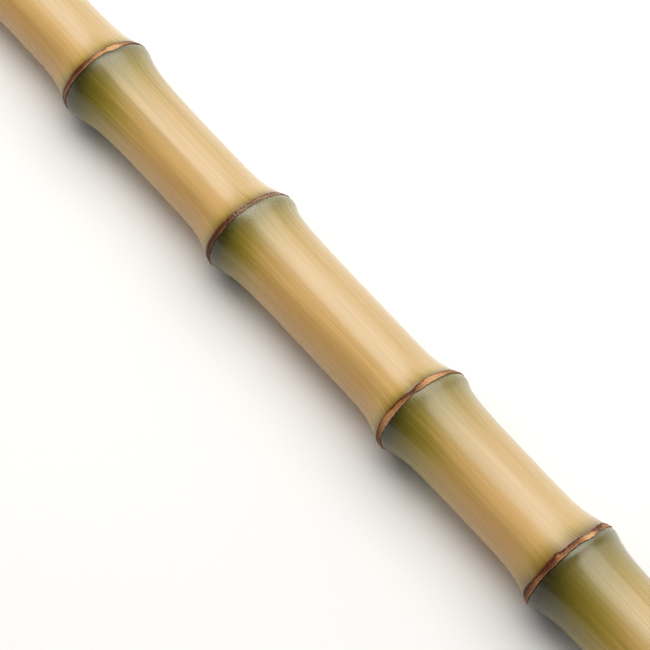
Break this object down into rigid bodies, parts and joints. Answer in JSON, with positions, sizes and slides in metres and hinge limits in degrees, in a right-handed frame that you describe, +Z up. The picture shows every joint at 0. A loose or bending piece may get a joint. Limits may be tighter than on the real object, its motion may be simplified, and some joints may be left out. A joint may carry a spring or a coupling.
{
  "type": "bamboo cane",
  "caption": "Straight sawn length of bamboo cane lying on its side, with swollen ringed joints between smooth stretches and a hollow in each sawn end.",
  "frame": {"origin": "middle of the cane's bounding box at the surface it lies on", "axes": "+X along the cane towards its thicker, lower end, +Z up, +Y across it"},
  "size_m": [0.3922, 0.0322, 0.0313],
  "materials": {
    "cane_skin": "satin",
    "sheath_scar": "rough cork",
    "sawn_face": "sawn, matt",
    "hollow_lining": "matt, papery"
  },
  "bodies": {
    "root": {"bamboo_cane": "cane_skin"}
  },
  "joints": []
}
